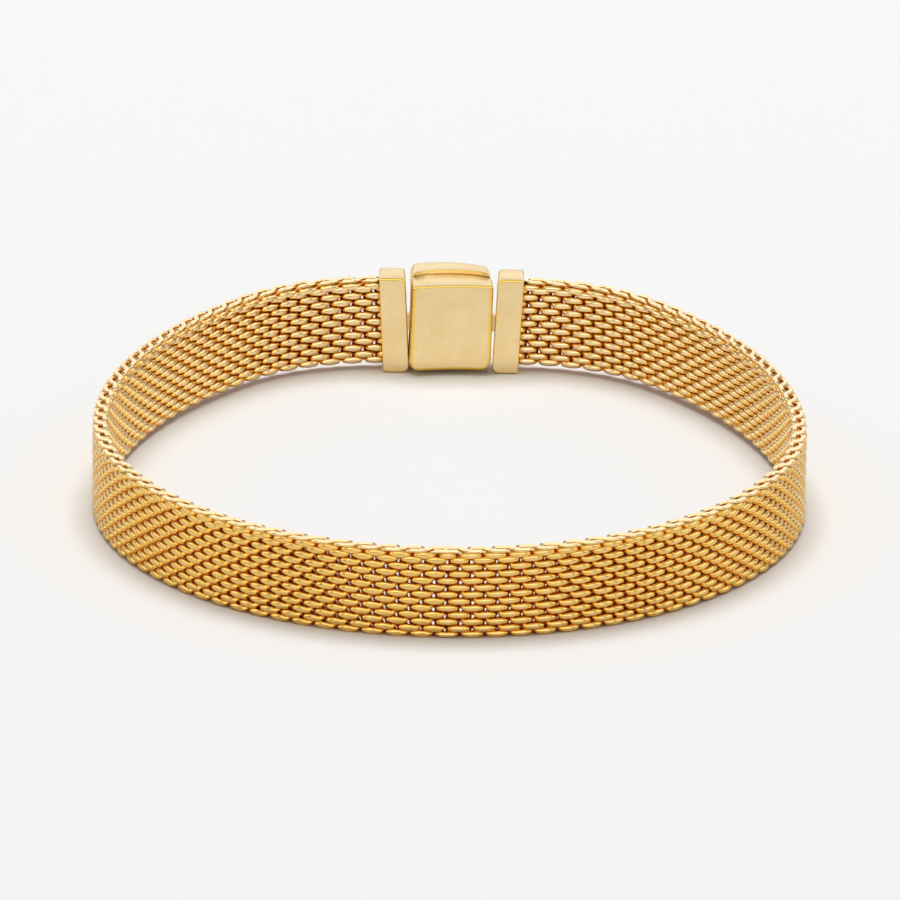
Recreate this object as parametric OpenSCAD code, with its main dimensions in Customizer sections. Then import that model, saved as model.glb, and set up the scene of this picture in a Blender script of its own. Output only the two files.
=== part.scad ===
// Mesh bracelet, closed and lying on its side, in millimetres.
// +Z is up, +Y points to the clasp, and the origin lies under the middle of the bracelet.

/* [Loop] */
// Clear width inside the band, side to side
loop_w = 54.7; // [46:0.1:72]
// Clear depth inside the band, front to back
loop_d = 62.7; // [54:0.1:74]
// From the back of the band to the widest line of the loop, at mid-wall
back_d = 34.5; // [32:0.1:37]
// Turn of each half of the front arc, in degrees
front_turn = 46.5; // [40:0.5:52]
// Turn of each back corner, in degrees
back_turn = 48.5; // [42:0.5:54]
// Straight stretch at the back, with the clasp in its middle
back_flat = 11; // [8:0.1:14]

/* [Mesh band] */
// Height of the woven band
band_h = 7.1; // [5:0.1:12]
// Thickness of the woven band, over its wires
band_t = 1.2; // [0.9:0.05:1.6]
// Radius on the edges of the band
band_edge = 0.35; // [0.1:0.05:0.4]

/* [End caps] */
// Width of an end cap, along the band
cap_w = 2.15; // [1.8:0.05:2.8]
// Thickness of an end cap, across the band
cap_d = 3; // [2.6:0.05:3.6]
// Height of an end cap above and below the band
cap_rim = 0.55; // [0.4:0.05:1]
// Radius on the edges of an end cap, and on its corners beside the band
cap_edge = 0.3; // [0.2:0.05:0.4]
// Radius on the corners of an end cap that face the clasp
cap_round = 0.7; // [0.4:0.05:0.8]
// Lean of the end caps, with their feet towards the clasp, in degrees
cap_lean = 3.2; // [0:0.1:5]
// Depth to which the band goes into the slot of an end cap
slot_in = 1; // [0.6:0.05:1.2]
// Gap around the band in its slot
slot_gap = 0.08; // [0.05:0.01:0.12]
// Gap between an end cap and the clasp
end_gap = 0.5; // [0.4:0.05:1]

/* [Tongues] */
// Thickness of the tongue that joins an end cap to the clasp
tongue_t = 0.8; // [0.6:0.05:1]
// Height of the tongue
tongue_h = 1.8; // [1.4:0.1:2.2]
// From the mid-wall of the band in to the middle of the tongue
tongue_in = 0.5; // [0.4:0.05:0.6]
// Radius of the round head on the end of the tongue
head_r = 0.7; // [0.6:0.02:0.75]
// Height of the head
head_h = 2.4; // [2.4:0.1:3]
// From the end wall of the clasp in to the middle of the head
head_in = 1.15; // [1.1:0.05:1.25]
// Gap around the tongue and its head inside the clasp
head_gap = 0.12; // [0.08:0.01:0.15]

/* [Clasp] */
// Length of the clasp, along the band
clasp_w = 6.7; // [6.4:0.1:7.5]
// Height of the clasp body
clasp_h = 7.3; // [6:0.1:12]
// From the mid-wall of the band in to the hollow inner face of the clasp
clasp_in = 1.85; // [1.75:0.05:2.4]
// Radius of the hollow inner face
inner_r = 16; // [12:0.5:30]
// From the mid-wall of the band out to the crown of the seam
seam_out = 1.35; // [1.2:0.05:1.5]
// Radius of the seam
seam_r = 6.3; // [6:0.1:8]
// Crown of the seam, from the middle of the clasp
seam_crown = -0.3; // [-0.6:0.05:0]
// Radius on the corners of the clasp
clasp_edge = 0.6; // [0.3:0.05:0.7]
// Turn of the clasp about an upright line, in degrees
clasp_turn = 3.5; // [0:0.1:4]

/* [Lid] */
// From the mid-wall of the band out to the crown of the lid
lid_out = 3.33; // [3.2:0.01:3.5]
// Radius of the outer face of the lid
lid_r = 7; // [6.5:0.1:8]
// Crown of the lid, from the middle of the clasp
lid_crown = -0.9; // [-1.1:0.05:-0.6]
// Height of the lid above and below the clasp body
lid_rim = 0.3; // [0.1:0.05:0.5]
// Length by which the lid stops short of the clasp body, for a thumbnail
lid_short = 0.25; // [0.1:0.05:0.4]
// Radius on the upright corners of the lid
lid_corner = 0.9; // [0.85:0.01:1]
// Gap between the lid and the clasp body
seam_gap = 0.12; // [0.1:0.01:0.15]
// Width of the peg under the lid that holds the loose head down
peg_w = 0.9; // [0.6:0.05:1]
// Height of the peg
peg_h = 1.6; // [1:0.1:2]

/* [Hinge] */
// Radius of the hinge barrel
barrel_r = 1.15; // [1.1:0.01:1.2]
// Radius of the hinge pin
pin_r = 0.4; // [0.3:0.05:0.5]
// Gap around the pin in the lid
pin_gap = 0.05; // [0.03:0.01:0.08]
// Gap around the pin in the knuckle of the body
rivet_gap = 0.02; // [0.01:0.01:0.03]
// Metal left over the top end of the pin
pin_roof = 0.6; // [0.4:0.05:1]
// Height of the middle knuckle, which belongs to the body
knuckle_h = 2.6; // [2:0.1:3.2]
// Gap beside the middle knuckle
knuckle_gap = 0.12; // [0.08:0.01:0.15]

/* [Hidden] */
$fn = 96;
past = 2;          // how far a cutting shape reaches past what it cuts
arc_steps = 9;     // stretches along each arc of the band
edge_steps = 2;    // facets around each edge of the band
slot_steps = 6;    // stations of the band, from its end, that the slot follows

// Each half of the loop has two arcs behind the widest line and two in front of it.
// A quarter reaches "across" to the side and "along" to its tip, whose arc turns by "turn".
function tip_r(across, along, turn) =
    (across * cos(turn) - along * (1 - sin(turn))) / (sin(turn) + cos(turn) - 1);
function side_r(across, along, turn) =
    (along * sin(turn) - across * (1 - cos(turn))) / (sin(turn) + cos(turn) - 1);
mid_w = (loop_w + band_t) / 2;
front_d = loop_d + band_t - back_d;
back_tip_r = tip_r(mid_w - back_flat / 2, back_d, back_turn);
back_side_r = side_r(mid_w - back_flat / 2, back_d, back_turn);
front_tip_r = tip_r(mid_w, front_d, front_turn);
front_side_r = side_r(mid_w, front_d, front_turn);

// Places of the clasp's arcs and pin from the middle of the clasp, at the band's mid-wall
seam_c = [seam_crown, seam_out - seam_r];
lid_c = [lid_crown, lid_out - lid_r];
inner_c = [0, -clasp_in - inner_r];
pin_x = barrel_r - clasp_w / 2;
pin_y = lid_c.y + sqrt(pow(lid_r - barrel_r, 2) - pow(pin_x - lid_c.x, 2));
lid_h = clasp_h + 2 * lid_rim;
// Middle of the round upright corner at an end of the lid, tangent to its outer face
function lid_end(end_x) =
    let (x = end_x - sign(end_x) * lid_corner)
    [x, lid_c.y + sqrt(pow(lid_r - lid_corner, 2) - pow(x - lid_c.x, 2))];
lid_left = lid_end(-clasp_w / 2);
lid_right = lid_end(clasp_w / 2 - lid_short);
// The hinge seat clears the left corner of the lid, which swings wider than the barrel.
seat_r = norm(lid_left - [pin_x, pin_y]) + lid_corner + seam_gap;
head_x = clasp_w / 2 - head_in;

// Heights and depths of the whole bracelet
cap_h = band_h + 2 * cap_rim;
mid_z = cap_h / 2;
lid_reach = lid_r + lid_c.y * cos(clasp_turn) + lid_c.x * sin(clasp_turn);
back_y = (loop_d + band_t * 3 / 2 - lid_reach) / 2;
wide_y = back_y - back_d;
front_y = wide_y - front_d;
back_corner = [back_flat / 2, back_y - back_tip_r];
cap_x = clasp_w / 2 + end_gap + cap_w / 2;
band_end = cap_x + cap_w / 2 - slot_in;

// Rectangle with round corners, about its middle
module rounded(w, h, r) {
    square([w - 2 * r, h], center = true);
    square([w, h - 2 * r], center = true);
    for (x = [-1, 1], y = [-1, 1])
        translate([x * (w / 2 - r), y * (h / 2 - r)]) circle(r);
}

// Stations of the band along an arc at c, between two bearings: each is a point and its bearing
function arc_stations(c, r, from, to) =
    [for (i = [0 : arc_steps - 1]) let (b = from + (to - from) * i / arc_steps)
        [c + r * [cos(b), sin(b)], b]];

// Stations from the middle of the front to the end of the band, at "end" right of the middle
function half_path(end) =
    let (turn_in = asin(max(0, end - back_flat / 2) / back_tip_r))
    concat(
        arc_stations([0, front_y + front_tip_r], front_tip_r, -90, front_turn - 90),
        arc_stations([mid_w - front_side_r, wide_y], front_side_r, front_turn - 90, 0),
        arc_stations([mid_w - back_side_r, wide_y], back_side_r, 0, 90 - back_turn),
        arc_stations(back_corner, back_tip_r, 90 - back_turn, 90 - turn_in),
        [[back_corner + back_tip_r * [sin(turn_in), cos(turn_in)], 90 - turn_in]],
        end < back_flat / 2 ? [[[end, back_y], 90]] : []);

// The same on both sides, from the left end of the band round the front to the right end
function whole_path(end) =
    let (half = half_path(end))
    concat([for (i = [len(half) - 1 : -1 : 1]) [[-half[i][0].x, half[i][0].y], 180 - half[i][1]]],
        half);

// Section of the band as [outwards, up], with room around it where it is cut as a slot
function section(room) =
    let (r = band_edge + room, w = band_t / 2 - band_edge, h = band_h / 2 - band_edge)
    [for (c = [[1, 1], [-1, 1], [-1, -1], [1, -1]], i = [0 : edge_steps])
        let (first = c.x > 0 ? (c.y > 0 ? 0 : 270) : (c.y > 0 ? 90 : 180), a = first + 90 * i / edge_steps)
        [c.x * w + r * cos(a), c.y * h + r * sin(a)]];

// Closed wall that carries the section along the stations
module sweep(path, room) {
    ring = section(room);
    n = len(ring);
    last = len(path) - 1;
    points = [for (s = path, q = ring)
        [s[0].x + q.x * cos(s[1]), s[0].y + q.x * sin(s[1]), mid_z + q.y]];
    sides = [for (i = [0 : last - 1], j = [0 : n - 1])
        [i * n + j, i * n + (j + 1) % n, (i + 1) * n + (j + 1) % n, (i + 1) * n + j]];
    polyhedron(points, concat(sides, [[for (j = [n - 1 : -1 : 0]) j]],
        [[for (j = [0 : n - 1]) last * n + j]]));
}

module mesh_band() {
    color("goldenrod") sweep(whole_path(band_end), 0);
}

// Front view of the right end cap, whose sides lean outwards going up
module cap_outline() {
    corners = [for (c = [[1, 1], [-1, 1], [-1, -1], [1, -1]])
        let (r = c.x > 0 ? cap_edge : cap_round, up = c.y * (cap_h / 2 - r))
        [[c.x * (cap_w / 2 - r / cos(cap_lean)) + up * tan(cap_lean), up], r, c]];
    // Where the corner's circle meets the upright side and the level side
    function on_side(c) = c[0] + c[1] * c[2].x * [cos(cap_lean), -sin(cap_lean)];
    function on_level(c) = c[0] + [0, c[1] * c[2].y];
    polygon([for (c = corners) each c[2].x * c[2].y > 0 ? [on_side(c), on_level(c)]
        : [on_level(c), on_side(c)]]);
    for (c = corners) translate(c[0]) circle(c[1]);
}

// Right end cap: a block with a slot for the band and a tongue with a round head
module end_cap() {
    difference() {
        translate([cap_x, back_y, mid_z]) intersection() {
            rotate([90, 0, 0]) linear_extrude(cap_d, center = true) cap_outline();
            rotate([90, 0, 90]) linear_extrude(2 * cap_w, center = true)
                rounded(cap_d, cap_h, cap_edge);
        }
        slot = half_path(band_end - slot_gap);
        sweep([for (i = [len(slot) - slot_steps : len(slot) - 1]) slot[i]], slot_gap);
    }
    translate([head_x, back_y - tongue_in - tongue_t / 2, mid_z - tongue_h / 2])
        cube([cap_x - cap_w / 4 - head_x, tongue_t, tongue_h]);
    translate([head_x, back_y - tongue_in, mid_z]) cylinder(r = head_r, h = head_h, center = true);
}

module end_cap_right() { color("gold") end_cap(); }

module end_cap_left() { color("gold") mirror([1, 0, 0]) end_cap(); }

// Puts a shape of the clasp in its place, with its small turn
module clasp_place() {
    translate([0, back_y, mid_z]) rotate(clasp_turn) children();
}

// Room for a tongue and its head; open outwards if the head lifts out there
module tongue_room(open) {
    room_r = head_r + head_gap;
    out = open ? lid_out : 0;
    translate([head_x, back_y - tongue_in, mid_z]) {
        cylinder(r = room_r, h = head_h + 2 * head_gap, center = true);
        translate([0, -tongue_t / 2 - head_gap, -tongue_h / 2 - head_gap])
            cube([head_in + end_gap, tongue_t + 2 * head_gap + out, tongue_h + 2 * head_gap]);
        if (open) translate([-room_r, 0, -head_h / 2 - head_gap])
            cube([2 * room_r, out, head_h + 2 * head_gap]);
    }
}

module clasp_body() {
    color("gold") difference() {
        clasp_place() difference() {
            union() {
                intersection() {
                    linear_extrude(clasp_h, center = true) difference() {
                        translate(seam_c) circle(seam_r);
                        translate(inner_c) circle(inner_r);
                        translate([pin_x, pin_y]) circle(seat_r);
                    }
                    rotate([90, 0, 0]) linear_extrude(2 * lid_out, center = true)
                        rounded(clasp_w, clasp_h, clasp_edge);
                }
                // Middle knuckle and the web that carries it
                translate([pin_x, pin_y, 0]) {
                    cylinder(r = barrel_r, h = knuckle_h, center = true);
                    translate([-barrel_r / 2, seam_gap - seat_r - barrel_r / 2, -knuckle_h / 2])
                        cube([barrel_r, seat_r + barrel_r / 2 - seam_gap, knuckle_h]);
                }
            }
            translate([pin_x, pin_y, 0])
                cylinder(r = pin_r + rivet_gap, h = knuckle_h + past, center = true);
        }
        tongue_room(true);
        mirror([1, 0, 0]) tongue_room(false);
    }
}

// Plan of the lid: a curved plate with round corners, and the hinge barrel at its left end
module lid_plan() {
    difference() {
        union() {
            intersection() {
                translate(lid_c) circle(lid_r);
                translate([lid_left.x, 0]) square([lid_right.x - lid_left.x, lid_out]);
            }
            translate(lid_left) circle(lid_corner);
            translate([-clasp_w / 2, pin_y]) square([lid_corner, lid_left.y - pin_y]);
            translate(lid_right) circle(lid_corner);
            translate([lid_right.x, 0]) square([lid_corner, lid_right.y]);
        }
        translate(seam_c) circle(seam_r + seam_gap);
        translate([pin_x - clasp_w, pin_y - clasp_w]) square(clasp_w);
    }
    translate([pin_x, pin_y]) circle(barrel_r);
}

module clasp_lid() {
    color("gold") clasp_place() difference() {
        union() {
            intersection() {
                linear_extrude(lid_h, center = true) lid_plan();
                translate([-lid_short / 2, 0, 0]) rotate([90, 0, 0])
                    linear_extrude(2 * lid_out, center = true)
                        rounded(clasp_w - lid_short, lid_h, clasp_edge);
            }
            // Peg over the head of the loose tongue
            translate([head_x - peg_w / 2, head_r + head_gap - tongue_in, -peg_h / 2])
                cube([peg_w, seam_out - head_r - head_gap + tongue_in, peg_h]);
        }
        // Room for the middle knuckle, all the way to the outside
        translate([-clasp_w, -lid_out, -knuckle_h / 2 - knuckle_gap])
            cube([clasp_w + pin_x + barrel_r + seam_gap, 3 * lid_out, knuckle_h + 2 * knuckle_gap]);
        translate([pin_x, pin_y, -lid_h / 2 - past])
            cylinder(r = pin_r + pin_gap, h = lid_h + past - pin_roof);
    }
}

module hinge_pin() {
    color("gold") clasp_place() translate([pin_x, pin_y, -lid_h / 2])
        cylinder(r = pin_r, h = lid_h - pin_roof - pin_gap);
}

mesh_band();
end_cap_left();
end_cap_right();
clasp_body();
clasp_lid();
hinge_pin();
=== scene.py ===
import math

import bmesh
import bpy
import numpy as np
from mathutils import Matrix, Vector


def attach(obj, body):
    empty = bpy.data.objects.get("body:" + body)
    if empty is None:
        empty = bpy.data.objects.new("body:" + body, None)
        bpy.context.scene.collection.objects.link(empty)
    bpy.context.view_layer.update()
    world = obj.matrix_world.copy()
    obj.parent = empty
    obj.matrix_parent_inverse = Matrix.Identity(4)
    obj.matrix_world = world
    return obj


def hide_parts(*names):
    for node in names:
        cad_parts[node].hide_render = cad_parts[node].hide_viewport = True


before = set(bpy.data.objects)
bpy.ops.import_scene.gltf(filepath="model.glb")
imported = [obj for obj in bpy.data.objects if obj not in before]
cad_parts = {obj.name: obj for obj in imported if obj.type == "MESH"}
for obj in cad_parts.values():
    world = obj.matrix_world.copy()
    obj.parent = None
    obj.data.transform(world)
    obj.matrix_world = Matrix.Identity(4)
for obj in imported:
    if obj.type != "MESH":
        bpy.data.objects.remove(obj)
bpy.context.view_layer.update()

# The band's loop: a flexible woven strap, closed into an egg that is widest in front of its middle.
# Each half is a short straight at the clasp and four arcs that run into each other, and every
# piece below is placed by its distance along this middle line of the band. Lengths in millimetres.
MM = 0.001
BAND_T = 1.2                       # thickness of the band
LOOP_W, LOOP_D = 54.7, 62.7        # the hollow inside it, across and from front to back
BACK_D = 34.5                      # from the back of the hollow to where it is widest
BACK_FLAT = 11.0                   # length of the straight
BACK_Y = 30.609                    # how far the straight lies behind the origin
FRONT_TURN, BACK_TURN = math.radians(46.5), math.radians(48.5)     # how far the arcs at the tips turn


def quarter(across, along, turn):
    """Radii of the two arcs that carry a quarter of the loop "across" to its side and "along" to its
    tip, where the tip's arc turns by "turn" and the side's arc makes up the rest of the right angle."""
    s, c = math.sin(turn), math.cos(turn)
    return (across * c - along * (1 - s)) / (s + c - 1), (along * s - across * (1 - c)) / (s + c - 1)


half_w = (LOOP_W + BAND_T) / 2
back_tip, back_side = quarter(half_w - BACK_FLAT / 2, BACK_D, BACK_TURN)
front_tip, front_side = quarter(half_w, LOOP_D + BAND_T - BACK_D, FRONT_TURN)
half_arcs = [(BACK_FLAT / 2, 0.0), (back_tip * BACK_TURN, 1 / back_tip),
             (back_side * (math.pi / 2 - BACK_TURN), 1 / back_side),
             (front_side * (math.pi / 2 - FRONT_TURN), 1 / front_side),
             (front_tip * FRONT_TURN, 1 / front_tip)]              # length and bend of each
HALF_LOOP = sum(length for length, bend in half_arcs)


def loop_line():
    """Points of the band's middle line, from the middle of the back round the left side to the front
    and back again: the heading is the running sum of the arcs' curvature, and the place is the
    running sum of the heading's unit vector. Returns distance, x, y and heading."""
    step = 0.02
    d = np.arange(0, 2 * HALF_LOOP + step, step)
    ends = np.cumsum([length for length, bend in half_arcs])
    to_back = np.minimum(d, 2 * HALF_LOOP - d)
    arc_here = np.clip(np.searchsorted(ends, to_back), 0, len(half_arcs) - 1)
    bend = np.array([b for length, b in half_arcs])[arc_here]
    heading = math.pi + np.concatenate([[0], np.cumsum((bend[1:] + bend[:-1]) / 2 * step)])
    middle = (heading[1:] + heading[:-1]) / 2
    x = np.concatenate([[0], np.cumsum(np.cos(middle) * step)])
    y = BACK_Y + np.concatenate([[0], np.cumsum(np.sin(middle) * step)])
    return d, x, y, heading


loop_d, loop_x, loop_y, loop_heading = loop_line()


def on_band(along, out, up):
    """Places in the room for points given on the band: the middle line's point at that distance,
    moved outwards square to the line, and up. Returns an array of shape (..., 3) in metres."""
    heading = np.interp(along, loop_d, loop_heading)
    x = np.interp(along, loop_d, loop_x) + out * np.sin(heading)
    y = np.interp(along, loop_d, loop_y) - out * np.cos(heading)
    return np.stack([x, y, up], axis=-1) * MM


# Woven mesh: flattened coils of round drawn wire, each with an upright axis and screwed through its
# neighbour, so that the front of one coil fills the gap between the next two. The finished strap is
# rolled, which flattens the crowns of the wires, and then polished and plated with gold.
WIRE = 0.50                        # diameter of the drawn wire
FLAT = 0.07                        # how much the rolling takes off each crown
SPREAD, TAPER = 0.24, 0.34         # how much taller it makes a bar's middle, and what the ends lose
PITCH = 0.9591                     # from one coil to the next, along the band
COIL_REACH = 0.765                 # from a coil's axis to the wire's middle in its bends, along the band
BEND_REACH = 0.31                  # length of a bend along the band
BEND = (BAND_T - WIRE) / 2 + FLAT  # from the middle of the band to the middle of the wire in its bars
BOW = 0.05                         # how much further out a bar's middle stands than its ends
SQUARE = 2.1                       # 2 would be a round bend; the flat mandrel gives a squarer one
FALL_IN_BARS = -0.06               # share of a coil's fall that lies in its bars, which spring back
BAR_STEPS, BEND_STEPS = 2, 6
REST_OF_WIRE = np.array([1.2, 1.95, 2.75, -2.75, -1.95, -1.2])     # corners of the wire beside its flat
ROWS = 13
CAP_RIM = 0.55                     # how much lower than the mesh the end caps reach, down to zero height
ROW_Z = CAP_RIM + np.array([6.78, *np.linspace(6.40, 0.72, 11), 0.24])     # the end rows are squeezed
TOP_DROP = 0.11                    # how much lower a top bar on the inner face lies, under the rim
LEAN, LEAN_OVER = 0.2, 1.6         # how far a coil leans in the end, and the height over which it settles
CENTRE = HALF_LOOP - 0.013         # first of two plain columns, where the two hands meet
CLEAR = 0.15                       # what the coils leave free beside its middle
LAST_LEFT, LAST_RIGHT = HALF_LOOP - 0.822, HALF_LOOP + 0.796       # the coils are counted back from these
BAND_END = 5.0                     # and reach the caps this far from the middle of the clasp


def lean(height):
    """How far a coil leans towards the clasp at a height: it settles exponentially below the rim."""
    return LEAN * (1 - np.exp((height - ROW_Z[0]) / LEAN_OVER))


def bend_plan(a):
    """Plan of a bend that starts on the outer face: a superellipse, whose along and out are the signed
    powers 2 / SQUARE of the sine and cosine of the angle."""
    s, c = np.sin(a), np.cos(a)
    return np.abs(s) ** (2 / SQUARE) * BEND_REACH, np.sign(c) * np.abs(c) ** (2 / SQUARE) * (BEND - BOW)


def rim_end():
    """Level end of a wire on the rim: a quarter of a bend from its bar to the middle of the band, and
    on into the side of the next coil's bar, where it is soldered. Along and out from the bar's end."""
    along, out = bend_plan(np.linspace(0, math.pi / 2, BEND_STEPS // 2 + 1)[1:])
    return np.append(along, BEND_REACH), np.append(out, WIRE / 2 - BEND)


def coil(kind):
    """Middle line of one left-hand coil, from the top down, as along, out and height. Bars are straight
    and nearly level, and bends fall one row, fastest half way through. kind 0 has its top bar outside,
    and kind 1 inside. Each end of the wire is a level rim_end."""
    bar = COIL_REACH - BEND_REACH
    per = BAR_STEPS + BEND_STEPS
    row, k = np.divmod(np.arange(ROWS * per - BEND_STEPS + 1), per)
    t = np.minimum(k / BAR_STEPS, 1.0)
    a = np.maximum(k - BAR_STEPS, 0) / BEND_STEPS * math.pi
    side = np.where((row + kind) % 2 == 0, 1.0, -1.0)      # outer bars run to the left
    bend_along, bend_out = bend_plan(a)
    bend_out = bend_out + BOW * 4 * t * (1 - t)
    end_along, end_out = rim_end()
    along = np.concatenate([side[0] * (bar + end_along[::-1]), side * (bar - 2 * bar * t - bend_along),
                            -side[-1] * (bar + end_along)])
    out = np.concatenate([side[0] * end_out[::-1], side * bend_out, side[-1] * end_out])
    fall = row + FALL_IN_BARS * (t - 0.5) + (1 - FALL_IN_BARS) * (a - np.sin(2 * a) / 2) / math.pi
    fall = np.concatenate([0 * end_out, fall, 0 * end_out + ROWS - 1])
    heights = ROW_Z - TOP_DROP * kind * (np.arange(ROWS) == 0)
    return along, out, np.interp(fall, np.arange(ROWS), heights)


def tube(points, radius, swell=0.0, flat=None, turn=0.0):
    """Round wire swept along many lines at once, with the crown that stands past the band's face rolled
    flat: there the ring's first two corners lie where its circle meets that face, so the flats are lens
    shapes. They are 4 to 60 degrees to each side of the ring's level arm, or flat radians, and turned
    by turn. points is (lines, steps, 3) as along, out and up. One arm of each ring is level and square
    to the line, and the other near upright, and longer by swell. Returns (lines, steps, 8, 3)."""
    tangent = np.gradient(points, axis=1)
    tangent /= np.linalg.norm(tangent, axis=-1, keepdims=True)
    level = np.cross(tangent, (0.0, 0.0, 1.0))
    level /= np.linalg.norm(level, axis=-1, keepdims=True)
    upright = np.cross(level, tangent) * (1 + np.asarray(swell))[..., None]
    if flat is None:
        flat = np.arccos(np.clip((BAND_T / 2 - np.abs(points[..., 1])) / radius, 0.5, 0.998))
    flat = np.broadcast_to(flat, points.shape[:2])[..., None]
    rest = np.broadcast_to(REST_OF_WIRE + turn, points.shape[:2] + (6,))
    around = np.concatenate([turn - flat, turn + flat, rest], axis=-1)[..., None]
    ring = np.cos(around) * level[:, :, None] + np.sin(around) * upright[:, :, None]
    return points[:, :, None] + radius * ring


def skin(rings, closed=False):
    """Faces of the tubes: a quad between each pair of neighbours along and around, and a face at each
    end, or none where the last ring is the first again. Returns points (n, 3) and arrays of faces."""
    rings = rings[:, :-1] if closed else rings
    lines, steps, sides = rings.shape[:3]
    base = np.arange(lines * steps * sides).reshape(lines, steps, sides)
    a, b = (base, np.roll(base, -1, axis=1)) if closed else (base[:, :-1], base[:, 1:])
    quads = np.stack([a, np.roll(a, -1, axis=2), np.roll(b, -1, axis=2), b], axis=-1).reshape(-1, 4)
    ends = np.concatenate([base[:, 0, ::-1], base[:, -1]])[:0 if closed else None]
    return rings.reshape(-1, 3), quads, ends


def add_mesh(name, points, faces):
    """A smooth-shaded object at the origin from points in metres and faces as arrays of corners."""
    mesh = bpy.data.meshes.new(name)
    mesh.from_pydata(points.tolist(), [], [f for group in faces for f in group.tolist()])
    mesh.update()
    mesh.shade_smooth()
    thing = bpy.data.objects.new(name, mesh)
    bpy.context.scene.collection.objects.link(thing)
    return thing


def linear(text):
    """sRGB hex to linear RGBA."""
    c = np.array([int(text[i:i + 2], 16) for i in (1, 3, 5)]) / 255
    return (*np.where(c <= 0.04045, c / 12.92, ((c + 0.055) / 1.055) ** 2.4), 1.0)


def node(tree, kind, links=None, **settings):
    """Adds a node, gives its settings and inputs, and links sources into its inputs."""
    n = tree.nodes.new(kind)
    for key, value in settings.items():
        if hasattr(n, key):
            setattr(n, key, value)
        else:
            n.inputs[key.replace("_", " ")].default_value = value
    for key, source in (links or {}).items():
        tree.links.new(source, n.inputs[key])
    return n


def blank(name):
    """A new empty material and its node tree."""
    m = bpy.data.materials.new(name)
    m.use_nodes = True
    m.node_tree.nodes.clear()
    return m, m.node_tree


# Gold plate over drawn brass wire, rolled and barrel polished: mirror-like on the crowns. Its colour is
# graded by how near each point lies to the band's faces: painted shade, deeper and redder, in the recesses
# between the wires, and a paler painted highlight towards the faces, palest on the rims. Slight unevenness
# of the plate is 0.3 mm wide.
wire_gold, t = blank("gold_plated_brass_wire")
place = node(t, "ShaderNodeTexCoord")
near = node(t, "ShaderNodeAttribute", attribute_name="near_face")
# Painted shade and highlight: the colour darkens and reddens from the faces into the recesses.
depth = node(t, "ShaderNodeMapRange", {"Value": near.outputs["Fac"]}, From_Min=0.3, From_Max=1.3)
tone = node(t, "ShaderNodeValToRGB", {"Fac": depth.outputs[0]})
stops = tone.color_ramp.elements
stops[0].position, stops[0].color = 0.0, linear("#E8962F")
stops[1].position, stops[1].color = 1.0, linear("#F7DDAE")
stops.new(0.42).color = linear("#E2A84B")
stops.new(0.66).color = linear("#E9BD62")
plate_grain = node(t, "ShaderNodeTexNoise", {"Vector": place.outputs["Object"]}, Scale=3300.0, Detail=2.0)
gloss = node(t, "ShaderNodeMapRange", {"Value": plate_grain.outputs["Fac"]}, To_Min=0.14, To_Max=0.26)
dents = node(t, "ShaderNodeBump", {"Height": plate_grain.outputs["Fac"]}, Strength=0.08, Distance=0.00004)
bsdf = node(t, "ShaderNodeBsdfPrincipled", {"Base Color": tone.outputs["Color"],
            "Roughness": gloss.outputs[0], "Normal": dents.outputs[0]}, Metallic=1.0)
node(t, "ShaderNodeOutputMaterial", {"Surface": bsdf.outputs[0]})


INNER_FACE = 1.2                   # how near to the surface the inner face counts as, so that its colour gets a paler painted highlight


def laid(lines, radius, **shape):
    """Rings of wires on the band, round the loop, from their middle lines. Returns their places, how
    near each point is to the band's faces, from 0 in the middle of the band to 1 on the outer face and
    INNER_FACE on the inner one, and whether the wires are closed links, which these aren't."""
    rings = tube(lines, radius, **shape)
    out = rings[..., 1] / (BAND_T / 2)
    return on_band(rings[..., 0], rings[..., 1], rings[..., 2]), np.maximum(out, -INNER_FACE * out), False


def spread(along, reach):
    """How much the rolling makes a wire taller: most in the middle of a bar, falling as a parabola, and
    drawn thinner round the bends."""
    return np.maximum(SPREAD - TAPER * (along / reach) ** 2, SPREAD - TAPER)


coil_lines = [np.stack(coil(kind), axis=-1) for kind in (0, 1)]


def coils(distances, kinds, hand):
    """Rings of many coils: each coil's own line, mirrored for a right-hand coil, leaned towards the
    clasp on its way down, and kept out of the plain columns."""
    along, out, height = np.moveaxis(np.stack([coil_lines[k] for k in kinds]), -1, 0)
    swell = spread(along, COIL_REACH)
    most = hand * (CENTRE - distances[:, None]) - CLEAR - lean(height)
    along = hand * np.minimum(along - lean(height), most)
    return laid(np.stack([along + distances[:, None], out, height], axis=-1), WIRE / 2, swell=swell)


RIM_WIRE, RIM_Z = 0.43, CAP_RIM + 7.125    # diameter and height of the wires on the rim
HOLE = {1.0: -0.74, -1.0: -0.44}           # from a coil of each hand to its rim wire's first eye
RIM_PAST = 0.74                            # how far a rim wire runs on past the middle of its eye
DIP_AT, DIP_OVER = 0.35, 0.39              # where it starts to dip, and over what length it does
DIP_IN, DIP_DOWN = 0.5, 0.32               # share of its way out that it loses, and how far it drops
CROSS = 1.5                                # how steeply it crosses the band between two eyes
RIM_STEPS, RIM_SQUASH, RIM_FLAT = 21, -0.2, 0.85       # it is ground lower, and flat 0.85 to each side
RIM_FLAT_PAINTED_HIGHLIGHT, RIM_PAINTED_HIGHLIGHT = 1.25, 1.15                # how near to the face the rim's colour counts, on its flat and elsewhere: a painted highlight, palest on the flat


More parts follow.
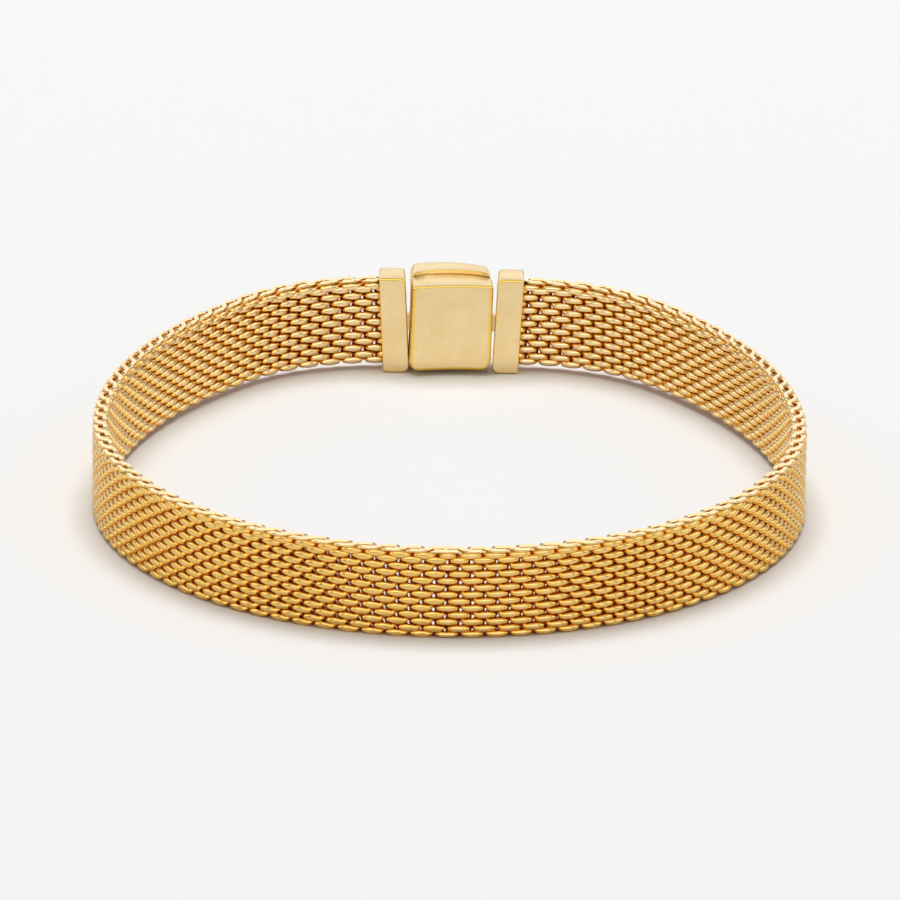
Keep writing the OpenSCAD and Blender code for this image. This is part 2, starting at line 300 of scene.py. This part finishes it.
def rim_wires(distances, hand, length, crossings):
    """Rings of the wires that finish the rim, a chain of small eyes two pitches apart. Each wire comes
    up between two top bars, passes one eye outside and the next inside, and crosses between them along
    the hyperbolic tangent of a cosine. It dips in at both ends, on parabolas. Its top is flat, and its
    colour there is painted palest of all, as a painted highlight."""
    along = np.linspace(-RIM_PAST, length + RIM_PAST, RIM_STEPS)
    wave = CROSS * np.cos(math.pi * crossings * along / length)
    out = (BAND_T - RIM_WIRE) / 2 * np.tanh(wave) / math.tanh(CROSS)
    past = np.maximum(np.maximum(-DIP_AT - along, along - length - DIP_AT), 0) / DIP_OVER
    out = out * (1 - DIP_IN * past ** 2)
    line = np.stack([hand * (along + HOLE[hand]), out, RIM_Z - DIP_DOWN * past ** 2], axis=-1)
    line = line + distances[:, None, None] * (1.0, 0.0, 0.0)
    places, near, closed = laid(line, RIM_WIRE / 2, swell=RIM_SQUASH, flat=RIM_FLAT, turn=math.pi / 2)
    flat_corners = np.isin(np.arange(8), (0, 1))
    # Painted highlight: the rim's colour is set paler than that of any other wire.
    return places, 0 * near + np.where(flat_corners, RIM_FLAT_PAINTED_HIGHLIGHT, RIM_PAINTED_HIGHLIGHT), closed


COLUMN_STEP, EYE_BETWEEN = 0.91, 0.90      # from one plain column to the next, and their rim wire's length
LINK_REACH = 0.575, 0.60                   # half the length of the links in each


def plain_column(middle, reach, first):
    """Rings of a column of plain links, where the two hands meet: each is an outer bar with both of its
    ends bent down and in to an inner bar one row lower, from the first row on, and wider going down,
    as the coils lean away. A single bar fills its other rim."""
    a = np.linspace(0, math.pi, BEND_STEPS + 1)
    bend_along, bend_out = bend_plan(a)
    rows = np.arange(first, ROWS - 1, 2)
    bar = (reach + lean(ROW_Z[rows]) - BEND_REACH)[:, None]
    past_bar = np.concatenate([[0], np.ones(len(a)), [0]]) * bar
    half_along = np.concatenate([[0], bend_along, [0]]) + past_bar
    half_out = np.concatenate([[BEND], bend_out, [-BEND]])
    half_row = np.concatenate([[0], (a - np.sin(2 * a) / 2) / math.pi, [1]])
    along = np.concatenate([half_along, -half_along[:, -2::-1]], axis=1)
    out = np.concatenate([half_out, half_out[-2::-1]]) + 0 * along
    row = rows[:, None] + np.concatenate([half_row, half_row[-2::-1]])
    links = np.stack([along + middle, out, np.interp(row, np.arange(ROWS), ROW_Z)], axis=-1)
    places, near, closed = laid(links, WIRE / 2, swell=spread(along, bar + BEND_REACH))
    last = 0 if first else ROWS - 1
    foot = reach + lean(ROW_Z[last]) - BEND_REACH
    end_along, end_out = rim_end()
    straight = np.linspace(-foot, foot, BAR_STEPS + 1)
    along = np.concatenate([-foot - end_along[::-1], straight, foot + end_along])
    out = np.concatenate([end_out[::-1], 0 * straight + BEND, end_out]) * (-1 if first else 1)
    end_bar = np.stack([along + middle, out, 0 * out + ROW_Z[last]], axis=-1)[None]
    return (places, near, True), laid(end_bar, WIRE / 2)


# The coils, counted from the plain columns back to the caps. Each side of the band is two pieces.
count = int((LAST_LEFT - BAND_END) / PITCH) + 1
k = np.arange(count)
left, right = LAST_LEFT - k * PITCH, LAST_RIGHT + k[1:] * PITCH
half = count // 2
groups = {
    "mesh_left_back": [coils(left[half:], (k[half:] + 1) % 2, 1.0)],
    "mesh_left_front": [coils(left[:half], (k[:half] + 1) % 2, 1.0)],
    "mesh_right_front": [coils(right[:half], k[:half] % 2, -1.0)],
    "mesh_right_back": [coils(right[half:], k[half:-1] % 2, -1.0)],
    "mesh_centre": [*plain_column(CENTRE, LINK_REACH[0], 0),
                    *plain_column(CENTRE + COLUMN_STEP, LINK_REACH[1], 1)],
    "mesh_rims": [rim_wires(left[1::2], 1.0, 2 * PITCH, 1), rim_wires(right[::2], -1.0, 2 * PITCH, 1),
                  rim_wires(left[1:2] + 2 * PITCH, 1.0, EYE_BETWEEN, 0)],
}
for name, wires in groups.items():
    skins = [skin(rings, closed) for rings, near, closed in wires]
    starts = np.cumsum([0] + [len(points) for points, quads, ends in skins])
    piece = add_mesh(name, np.concatenate([points for points, quads, ends in skins]),
                     [f + n for (points, *faces), n in zip(skins, starts) for f in faces])
    piece.data.set_sharp_from_angle(angle=math.radians(50))
    near_face = piece.data.attributes.new("near_face", "FLOAT", "POINT")
    near_face.data.foreach_set("value", np.concatenate([(near[:, :-1] if closed else near).ravel()
                                                         for rings, near, closed in wires]))
    piece.data.materials.append(wire_gold)
    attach(piece, "root")
    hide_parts("mesh_band")

# End caps: brass blocks with softened edges, gold plated and finished satin, that grip the two ends of
# the mesh in a slot. Each has a flat tongue with a round head, which turns in a room in the clasp.
# From here on, x and y are measured from the middle of the clasp, and z from the middle of the mesh.
BAND_H = 7.1
MID_Z = CAP_RIM + BAND_H / 2
CAP_W, CAP_D, CAP_H, CAP_LEAN = 2.15, 2.86, 8.14, math.tan(math.radians(2.9))
CAP_X, CAP_UP = 4.70, 0.03                                 # where a cap's middle is
CAP_CORNERS = [0.22, 0.22, 0.3, 0.6]                       # of the right cap; larger on the clasp's side
SLOT_X, SLOT_Y, SLOT_Z = (4.15, 9), 0.68, (-3.65, 3.75)
HEAD_X, HEAD_Y, HEAD_R, HEAD_H = 2.2, -0.25, 0.7, 2.4      # the round head of a tongue
TONGUE = (-0.5, 0.1, 0.7)                                  # its back, front and half height

# Satin gold plate: near-neutral pale gold, brushed with fine grit, which blurs reflections one way. Its
# lines are 0.05 mm apart, drawn here 0.12 mm apart so that they show. Its tone drifts every 2 mm.
satin_gold, t = blank("satin_gold_plate")
place = node(t, "ShaderNodeTexCoord")
lines = node(t, "ShaderNodeMapping", {"Vector": place.outputs["Object"]}, Scale=(8300.0, 8300.0, 250.0))
brush = node(t, "ShaderNodeTexNoise", {"Vector": lines.outputs[0]}, Scale=1.0, Detail=3.0)
clouds = node(t, "ShaderNodeTexNoise", {"Vector": place.outputs["Object"]}, Scale=450.0, Detail=2.0)
tone = node(t, "ShaderNodeValToRGB", {"Fac": clouds.outputs["Fac"]})
stops = tone.color_ramp.elements
stops[0].position, stops[0].color = 0.3, linear("#ECCF96")
stops[1].position, stops[1].color = 0.7, linear("#F2DAA6")
gloss = node(t, "ShaderNodeMapRange", {"Value": brush.outputs["Fac"]}, To_Min=0.24, To_Max=0.34)
dents = node(t, "ShaderNodeBump", {"Height": brush.outputs["Fac"]}, Strength=0.05, Distance=0.00002)
bsdf = node(t, "ShaderNodeBsdfPrincipled", {"Base Color": tone.outputs["Color"],
            "Roughness": gloss.outputs[0], "Normal": dents.outputs[0]}, Metallic=1.0)
node(t, "ShaderNodeOutputMaterial", {"Surface": bsdf.outputs[0]})

# Polished gold plate of the softened edges: the same plate, buffed bright, with faint wear 0.2 mm wide
polished_gold, t = blank("polished_gold_plate_edge")
place = node(t, "ShaderNodeTexCoord")
wear = node(t, "ShaderNodeTexNoise", {"Vector": place.outputs["Object"]}, Scale=5000.0, Detail=2.0)
tone = node(t, "ShaderNodeValToRGB", {"Fac": wear.outputs["Fac"]})
stops = tone.color_ramp.elements
stops[0].position, stops[0].color = 0.3, linear("#EBC35A")
stops[1].position, stops[1].color = 0.7, linear("#F3D070")
gloss = node(t, "ShaderNodeMapRange", {"Value": wear.outputs["Fac"]}, To_Min=0.08, To_Max=0.16)
bsdf = node(t, "ShaderNodeBsdfPrincipled", {"Base Color": tone.outputs["Color"],
            "Roughness": gloss.outputs[0]}, Metallic=1.0)
node(t, "ShaderNodeOutputMaterial", {"Surface": bsdf.outputs[0]})


def round_outline(width, height, radii, lean_by):
    """A leaning rectangle with four round corners, from the lower right one anticlockwise, as arcs with
    level edges split finely between them. Returns its points (x, z) and their outward directions."""
    points, outward = [], []
    corners = [(1, -1), (1, 1), (-1, 1), (-1, -1)]
    for (x, z), r, start in zip(corners, radii, (-90, 0, 90, 180)):
        a = np.radians(start + np.linspace(0, 90, 9))
        outward.append(np.stack([np.cos(a), np.sin(a)], axis=-1))
        points.append(np.array([x * (width / 2 - r), z * (height / 2 - r)]) + r * outward[-1])
    for i, steps in ((3, 16), (2, 6), (1, 16), (0, 6)):
        t = np.linspace(0, 1, steps + 1)[1:-1, None]
        points.insert(i + 1, points[i][-1] * (1 - t) + points[(i + 1) % 4 if i == 3 else i + 1][0] * t)
        outward.insert(i + 1, np.repeat(outward[i][-1:], len(t), axis=0))
    points, outward = np.concatenate(points), np.concatenate(outward)
    return points + np.stack([points[:, 1] * lean_by, 0 * points[:, 1]], axis=-1), outward


FACE_RINGS, EDGE_RINGS = 13, 5
TO_EDGE = FACE_RINGS + EDGE_RINGS
EDGE_ROWS = [*range(FACE_RINGS - 1, TO_EDGE - 1), *range(TO_EDGE, TO_EDGE + EDGE_RINGS)]


def slab(outline, outward, inner, outer, inner_edge, outer_edge):
    """A closed plate between the faces y = inner(x) and y = outer(x) over an outline in x and z. Rings
    run from the middle of the inner face to its edge, closer together there by a sine, round the edge
    on a quarter circle, across the wall, and the same way back over the outer face. EDGE_ROWS are the
    rows of faces that round its two edges. Returns (rings, points, 3)."""
    def face(surface, edge, way):
        """Rings of one face, from near its middle out to its edge and round it."""
        spread_out = np.sin(np.linspace(0.06, 1, FACE_RINGS) * math.pi / 2)[:, None, None]
        flat = (outline - outward * (edge[:, None] + 0.03)) * spread_out
        a = np.linspace(0, math.pi / 2, EDGE_RINGS)[:, None, None]
        rim = outline - outward * edge[:, None] * (1 - np.sin(a))
        xz = np.concatenate([flat, rim])
        sink = np.concatenate([0 * flat[..., 0], edge * (1 - np.cos(a[..., 0]))])
        return np.stack([xz[..., 0], surface(xz[..., 0]) + way * sink, xz[..., 1]], axis=-1)
    return np.concatenate([face(inner, inner_edge, 1), face(outer, outer_edge, -1)[::-1]])


def close_rings(rings):
    """Faces round a stack of closed rings, (rings, points, 3), with the two ends closed by one face
    each, as points and two arrays of faces."""
    base = np.arange(rings.shape[0] * rings.shape[1]).reshape(rings.shape[:2])
    a, b = base[:-1], base[1:]
    quads = np.stack([a, np.roll(a, -1, axis=1), np.roll(b, -1, axis=1), b], axis=-1).reshape(-1, 4)
    return rings.reshape(-1, 3), quads, np.stack([base[0, ::-1], base[-1]])


def drum(x, y, radius, low, high, edge):
    """A closed round post about an upright line, with its two ends rounded by a quarter circle."""
    a = np.linspace(0, math.pi / 2, 4)
    r = np.concatenate([[radius * 0.1], radius - edge + edge * np.sin(a)])
    z = np.concatenate([[0], edge * (1 - np.cos(a))])
    r, z = np.concatenate([r, r[::-1]])[:, None], np.concatenate([low + z, high - z[::-1]])[:, None]
    turn = np.linspace(0, 2 * math.pi, 49)[:-1]
    return np.stack([x + r * np.cos(turn), y + r * np.sin(turn), z + 0 * turn], axis=-1)


def block(corner, opposite):
    """A plain box between two opposite corners, as two rings of four corners."""
    (x0, y0, z0), (x1, y1, z1) = np.minimum(corner, opposite), np.maximum(corner, opposite)
    return np.array([[(x0, y0, z), (x1, y0, z), (x1, y1, z), (x0, y1, z)] for z in (z0, z1)])


def solid(name, rings, turn=0.0, polished_rows=()):
    """A closed object from rings in millimetres about the middle of the clasp, turned about an upright
    line there, and set in its place on the bracelet, with its faces outwards."""
    points, quads, ends = close_rings(rings)
    c, s = math.cos(math.radians(turn)), math.sin(math.radians(turn))
    x, y, z = points.T
    points = np.stack([c * x - s * y, s * x + c * y + BACK_Y, z + MID_Z], axis=-1) * MM
    thing = add_mesh(name, points, [quads, ends])
    row = np.append(np.arange(len(quads)) // rings.shape[1], [-1, -1])
    thing.data.materials.append(satin_gold)
    thing.data.materials.append(polished_gold)
    thing.data.polygons.foreach_set("material_index", np.isin(row, polished_rows).astype(np.int32))
    bm = bmesh.new()
    bm.from_mesh(thing.data)
    bmesh.ops.recalc_face_normals(bm, faces=bm.faces)
    bm.to_mesh(thing.data)
    bm.free()
    return thing


def shaped(thing, added=(), removed=()):
    """The object joined with some solids and cut by others, exactly, with edges over 35 degrees sharp.
    The solids are used up."""
    for tool, how in [(tool, "UNION") for tool in added] + [(tool, "DIFFERENCE") for tool in removed]:
        change = thing.modifiers.new(how, "BOOLEAN")
        change.operation, change.solver, change.object = how, "EXACT", tool
    mesh = bpy.data.meshes.new_from_object(thing.evaluated_get(bpy.context.evaluated_depsgraph_get()))
    thing.modifiers.clear()
    thing.data = mesh
    for tool in [*added, *removed]:
        bpy.data.objects.remove(tool)
    mesh.shade_smooth()
    mesh.set_sharp_from_angle(angle=math.radians(35))
    return thing


for side, name in ((-1, "cap_left"), (1, "cap_right")):
    outline, outward = round_outline(CAP_W, CAP_H, CAP_CORNERS[::side], side * CAP_LEAN)
    middle = side * CAP_X
    inner_soft = 0.07 + 0.07 * np.maximum(outward[:, 1], 0)        # rounder at the top
    outer_soft = 0.10 + 0.1 * outward[:, 0] ** 2                   # rounder at the sides
    plate = slab(outline, outward, lambda x: 0 * x - CAP_D / 2, lambda x: 0 * x + CAP_D / 2,
                 inner_soft, outer_soft)
    cap = solid(name, plate + (middle, 0, CAP_UP), polished_rows=EDGE_ROWS)
    slot = solid("slot", block((side * SLOT_X[0], -SLOT_Y, SLOT_Z[0]),
                               (side * SLOT_X[1], SLOT_Y, SLOT_Z[1])))
    neck = solid("neck", block((side * HEAD_X, TONGUE[0], -TONGUE[2]), (middle, TONGUE[1], TONGUE[2])))
    head = solid("head", drum(side * HEAD_X, HEAD_Y, HEAD_R, -HEAD_H / 2, HEAD_H / 2, 0.1))
    cap = shaped(cap, added=[neck, head], removed=[slot])
    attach(cap, "root")
    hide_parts("end_" + name)

# Clasp body: a brass block, hollow on the side of the wrist and crowned at the seam, with a seat for the
# lid's hinge at its left end and a room for each tongue's head. The right head's room is open to the lid.
# Plated and brushed as the caps are. The clasp stands a little askew between them.
CLASP_W, CLASP_H, CLASP_X = 6.7, 7.42, -0.09
CLASP_TURN, CLASP_LEAN = 3.5, math.tan(math.radians(1.4))
SEAM_X, SEAM_Y, SEAM_R = -0.3, -5.2, 6.3               # middle and radius of the seam's arc
PIN = np.array([-2.2, 2.034])                          # the hinge's line
BARREL_R, KNUCKLE_H = 1.12, 2.6
SEAT_GAP, SEAT_H = 0.18, 5                             # it is wider and taller than the lid's barrels
WEB_W, WEB_D = 0.55, 1.8                               # half width and depth of what carries the knuckle
PLAY = 0.12                                            # left free round heads, tongues and knuckle
PAST_END, PAST_SEAM = 4.2, 4.0                         # how far the rooms are cut, clear of the body


def arc(middle_x, middle_y, radius):
    """The upper half of a circle, as y for each x."""
    return lambda x: middle_y + np.sqrt(radius ** 2 - (x - middle_x) ** 2)


outline, outward = round_outline(CLASP_W, CLASP_H, [0.95, 0.3, 0.3, 0.95], CLASP_LEAN)
outline[:, 0] += CLASP_X
soft = 0.13 + 0.16 * np.maximum(np.abs(outward[:, 0]), -outward[:, 1]) ** 2    # least round at the top
hollow, seam = arc(0.0, -17.85, 16.0), arc(SEAM_X, SEAM_Y, SEAM_R)
plate = slab(outline, outward, hollow, seam, soft, 0 * soft + 0.06)
body = solid("clasp_block", plate, CLASP_TURN, EDGE_ROWS)
seat = solid("seat", drum(*PIN, BARREL_R + SEAT_GAP, -SEAT_H, SEAT_H, 0.1), CLASP_TURN)
body = shaped(body, removed=[seat])
knuckle = solid("knuckle", drum(*PIN, BARREL_R, -KNUCKLE_H / 2, KNUCKLE_H / 2, 0.06), CLASP_TURN)
web_h = KNUCKLE_H / 2 - 0.05
web = solid("web", block((PIN[0] - WEB_W, PIN[1] - WEB_D, -web_h), (PIN[0] + WEB_W, PIN[1], web_h)),
            CLASP_TURN)
rooms = []
room_r, room_h = HEAD_R + PLAY, HEAD_H / 2 + PLAY
for side, to in ((-1, TONGUE[1] + PLAY), (1, PAST_SEAM)):
    rooms.append(solid("head_room", drum(side * HEAD_X, HEAD_Y, room_r, -room_h, room_h, 0.05)))
    rooms.append(solid("neck_room", block((side * HEAD_X, TONGUE[0] - PLAY, -TONGUE[2] - PLAY),
                                          (side * PAST_END, to, TONGUE[2] + PLAY))))
rooms.append(solid("way_out", block((HEAD_X - HEAD_R - PLAY, HEAD_Y, -room_h),
                                    (HEAD_X + HEAD_R + PLAY, PAST_SEAM, room_h))))
body = shaped(body, added=[knuckle, web], removed=rooms)
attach(body, "root")
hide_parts("clasp_body")

# Clasp lid: a curved brass plate, a little taller and shorter than the body, that swings on the pin. Its
# barrel is split for the body's knuckle, and a peg under it holds the loose head down.
LID_H, LID_W, SEAM_GAP = 8.04, 6.45, 0.12
LID_CORNER, LID_LEFT, LID_RIGHT = 0.9, (-2.45, 2.230), (2.2, 1.584)    # its round ends in plan
CROWN_X, CROWN_Y, CROWN_R = -0.9, -3.67, 7.0           # middle and radius of its outer face's arc
PEG = (0.45, 1.3, 0.8)                                 # its half width, its top and its half height
CUT_X, CUT_OUT, HEEL_IN, ROOM_IN = -6, 6, -1, -4       # the hinge's cuts start and end clear of the lid


def crown_of_lid(x):
    """Outer face of the lid: an arc of 7 mm radius that runs out in a small arc at each end."""
    x = x + CLASP_X
    ends = [y + np.sqrt(np.maximum(LID_CORNER ** 2 - (x - at) ** 2, 0)) for at, y in (LID_LEFT, LID_RIGHT)]
    crown = arc(CROWN_X, CROWN_Y, CROWN_R)(x)
    return np.where(x < LID_LEFT[0], ends[0], np.where(x > LID_RIGHT[0], ends[1], crown))


outline, outward = round_outline(LID_W, LID_H, [0.6, 0.45, 0.45, 0.6], CLASP_LEAN)
even = 0 * outward[:, 0]
plate = slab(outline, outward, lambda x: arc(SEAM_X, SEAM_Y, SEAM_R + SEAM_GAP)(x + CLASP_X), crown_of_lid,
             even + 0.05, even + 0.14)
lid = solid("lid_plate", plate + (CLASP_X, 0, 0), CLASP_TURN, EDGE_ROWS)
heel = solid("heel", block((CUT_X, HEEL_IN, -CLASP_H / 2 - 0.05),       # clears the body as the lid swings
                           (PIN[0], PIN[1] - 0.1, CLASP_H / 2 + 0.03)), CLASP_TURN)
gap = KNUCKLE_H / 2 + PLAY
room = solid("room", block((CUT_X, ROOM_IN, -gap), (PIN[0] + BARREL_R + PLAY, CUT_OUT, gap)), CLASP_TURN)
lid = shaped(lid, removed=[heel, room])
barrels = [solid("barrel", drum(*PIN, BARREL_R, low, high, 0.04), CLASP_TURN)
           for low, high in ((gap - 0.02, CLASP_H / 2), (-CLASP_H / 2, 0.02 - gap))]
peg = solid("peg", block((HEAD_X - PEG[0], HEAD_Y + HEAD_R + PLAY, -PEG[2]),
                         (HEAD_X + PEG[0], PEG[1], PEG[2])), CLASP_TURN)
lid = shaped(lid, added=[*barrels, peg])
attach(lid, "lid")
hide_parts("clasp_lid")

# Hinge pin: drawn brass wire, pushed up through the barrels and the knuckle to just under the top, and
# riveted flush below. It stays with the body while the lid swings.
PIN_R = 0.4
pin = solid("rivet_pin", drum(*PIN, PIN_R, -LID_H / 2 - 0.03, LID_H / 2 - 0.65, 0.08), CLASP_TURN)
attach(pin, "root")
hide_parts("hinge_pin")

# Stage: a large sheet of white paper. The bracelet rests on its caps at the back and, as they are taller
# than the mesh, on the mesh at the front, so the sheet is tilted by that much to touch both.
SHEET = 1.5                                            # half its width, in metres
FRONT = -0.0339                                        # where the front of the mesh touches it
back = BACK_Y * MM
slope = CAP_RIM * MM / (back - FRONT)
low, high = slope * (back - SHEET), slope * (back + SHEET)
sheet_mesh = bpy.data.meshes.new("floor")
sheet_mesh.from_pydata([(-SHEET, -SHEET, high), (SHEET, -SHEET, high), (SHEET, SHEET, low),
                        (-SHEET, SHEET, low)], [], [(0, 1, 2, 3)])
floor = bpy.data.objects.new("floor", sheet_mesh)
bpy.context.scene.collection.objects.link(floor)
paper, t = blank("white_paper")
bsdf = node(t, "ShaderNodeBsdfPrincipled", Base_Color=linear("#F4F4F4"), Roughness=0.9)
node(t, "ShaderNodeOutputMaterial", {"Surface": bsdf.outputs[0]})
sheet_mesh.materials.append(paper)

# Camera: a long lens from a little above, as a product photographer sets it. Its place, tilt and roll
# come from fitting the loop's two rims to the photograph.
TILT, ROLL = math.radians(19.938), math.radians(0.7149)
DISTANCE, SHIFT_X, SHIFT_Y = 1097.88, -0.0402, -4.5927
AIM_Y = -4.270                                         # of the point that it faces, before its shift
FOCAL, FRAME, SENSOR = 13706.1, 900, 36                # in pixels, in pixels and in millimetres
camera_y = -DISTANCE * math.cos(TILT) - SHIFT_Y * math.sin(TILT) + AIM_Y
camera_z = DISTANCE * math.sin(TILT) - SHIFT_Y * math.cos(TILT) + CAP_RIM
level, upright = Vector((1, 0, 0)), Vector((0, math.sin(TILT), math.cos(TILT)))
across = level * math.cos(ROLL) + upright * math.sin(ROLL)
up = upright * math.cos(ROLL) - level * math.sin(ROLL)
camera_data = bpy.data.cameras.new("camera")
camera_data.lens = FOCAL / FRAME * SENSOR
camera_data.sensor_width = SENSOR
camera = bpy.data.objects.new("camera", camera_data)
turned = Matrix((across, up, across.cross(up))).transposed().to_4x4()
camera.matrix_world = Matrix.Translation(Vector((-SHIFT_X, camera_y, camera_z)) * MM) @ turned
bpy.context.scene.collection.objects.link(camera)
bpy.context.scene.camera = camera

# Light: an even white room with one large softbox overhead, a little behind, which lights the paper and
# throws the soft shadow in front. Five white cards are there for the gold alone to mirror.
world = bpy.data.worlds.new("studio")
bpy.context.scene.world = world
world.use_nodes = True
room_white = world.node_tree.nodes["Background"]
room_white.inputs["Color"].default_value = linear("#FFFFFF")
room_white.inputs["Strength"].default_value = 0.34


def softbox(name, place, size, radiance, on_paper=False):
    """A rectangular light that faces the bracelet, in metres. radiance is how bright its face looks,
    where white paper is 1, and its power is that times pi times its area."""
    light = bpy.data.lights.new(name, "AREA")
    light.shape = "RECTANGLE"
    light.size, light.size_y = size
    light.energy = radiance * math.pi * size[0] * size[1]
    lamp = bpy.data.objects.new(name, light)
    lamp.location = place
    lamp.rotation_euler = (Vector((0, 0, 0)) - Vector(place)).to_track_quat("-Z", "Y").to_euler()
    lamp.visible_diffuse = on_paper
    lamp.visible_glossy = not on_paper
    bpy.context.scene.collection.objects.link(lamp)


softbox("overhead", (0, 0.5, 2.22), (1.3, 1.3), 7.3, on_paper=True)
softbox("back_card", (0, 1.4, 0.52), (2.6, 0.7), 0.9)
softbox("ceiling_card", (0, 0, 1.4), (1.8, 1.8), 0.5)
softbox("front_card", (0, -1.3, 0.80), (3.0, 1.1), 1.4)
softbox("left_card", (-1.5, 0, 0.75), (1.6, 1.1), 1.3)
softbox("right_card", (1.5, 0, 0.75), (1.6, 1.1), 1.3)
bpy.context.scene.view_settings.view_transform = "Standard"
